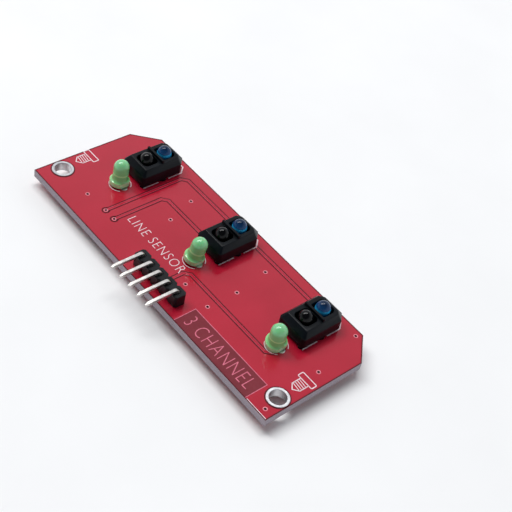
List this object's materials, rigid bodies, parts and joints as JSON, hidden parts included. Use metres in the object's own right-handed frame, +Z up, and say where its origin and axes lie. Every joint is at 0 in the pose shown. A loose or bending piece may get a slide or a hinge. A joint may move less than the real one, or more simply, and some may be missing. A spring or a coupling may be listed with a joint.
{
  "type": "line sensor board",
  "caption": "Reflective line-tracking sensor board for a small robot, with indicator lamps, comparator chip, right-angle pin header and plated mounting holes.",
  "frame": {"origin": "under the middle of the whole object, in the plane of the trimmed lead tips that it stands on", "axes": "+X along the board's length from the right channel to the left channel, +Y from the pin header towards the sensors, +Z up out of the sensor side of the board"},
  "size_m": [0.069, 0.031, 0.0089],
  "materials": {
    "solder_mask": "gloss red solder mask on a glass-epoxy board",
    "board_core": "sawn edge of a glass-epoxy board",
    "plated_copper": "bright tinned copper",
    "lead_tin": "tinned lead wire",
    "solder": "reflowed solder",
    "legend_ink": "printed legend ink",
    "sensor_plastic": "moulded black plastic",
    "emitter_epoxy": "clear blue cast epoxy",
    "detector_epoxy": "daylight-blocking dark cast epoxy",
    "indicator_epoxy": "diffused green cast epoxy",
    "header_plastic": "moulded black plastic",
    "chip_epoxy": "moulded slate-grey chip epoxy",
    "resistor_glaze": "dark glazed resistor face",
    "capacitor_ceramic": "fired ceramic",
    "power_lamp": "pale cast lens on a white substrate"
  },
  "bodies": {
    "root": {"board": "solder_mask", "comparator_chip": "chip_epoxy", "header_block": "header_plastic", "header_pin_1": "lead_tin", "header_pin_2": "lead_tin", "header_pin_3": "lead_tin", "header_pin_4": "lead_tin", "header_pin_5": "lead_tin", "indicator_centre_anode_lead": "lead_tin", "indicator_centre_cathode_lead": "lead_tin", "indicator_centre_lens": "indicator_epoxy", "indicator_left_anode_lead": "lead_tin", "indicator_left_cathode_lead": "lead_tin", "indicator_left_lens": "indicator_epoxy", "indicator_right_anode_lead": "lead_tin", "indicator_right_cathode_lead": "lead_tin", "indicator_right_lens": "indicator_epoxy", "mounting_ring_left": "plated_copper", "mounting_ring_right": "plated_copper", "power_lamp": "power_lamp", "resistor_centre_detector": "resistor_glaze", "resistor_centre_emitter": "resistor_glaze", "resistor_centre_indicator": "resistor_glaze", "resistor_left_detector": "resistor_glaze", "resistor_left_emitter": "resistor_glaze", "resistor_left_indicator": "resistor_glaze", "resistor_power_lamp": "resistor_glaze", "resistor_right_detector": "resistor_glaze", "resistor_right_emitter": "resistor_glaze", "resistor_right_indicator": "resistor_glaze", "sensor_centre_detector": "detector_epoxy", "sensor_centre_detector_collector_lead": "lead_tin", "sensor_centre_detector_emitter_lead": "lead_tin", "sensor_centre_emitter": "emitter_epoxy", "sensor_centre_emitter_anode_lead": "lead_tin", "sensor_centre_emitter_cathode_lead": "lead_tin", "sensor_centre_housing": "sensor_plastic", "sensor_left_detector": "detector_epoxy", "sensor_left_detector_collector_lead": "lead_tin", "sensor_left_detector_emitter_lead": "lead_tin", "sensor_left_emitter": "emitter_epoxy", "sensor_left_emitter_anode_lead": "lead_tin", "sensor_left_emitter_cathode_lead": "lead_tin", "sensor_left_housing": "sensor_plastic", "sensor_right_detector": "detector_epoxy", "sensor_right_detector_collector_lead": "lead_tin", "sensor_right_detector_emitter_lead": "lead_tin", "sensor_right_emitter": "emitter_epoxy", "sensor_right_emitter_anode_lead": "lead_tin", "sensor_right_emitter_cathode_lead": "lead_tin", "sensor_right_housing": "sensor_plastic", "supply_capacitor": "capacitor_ceramic"}
  },
  "joints": []
}
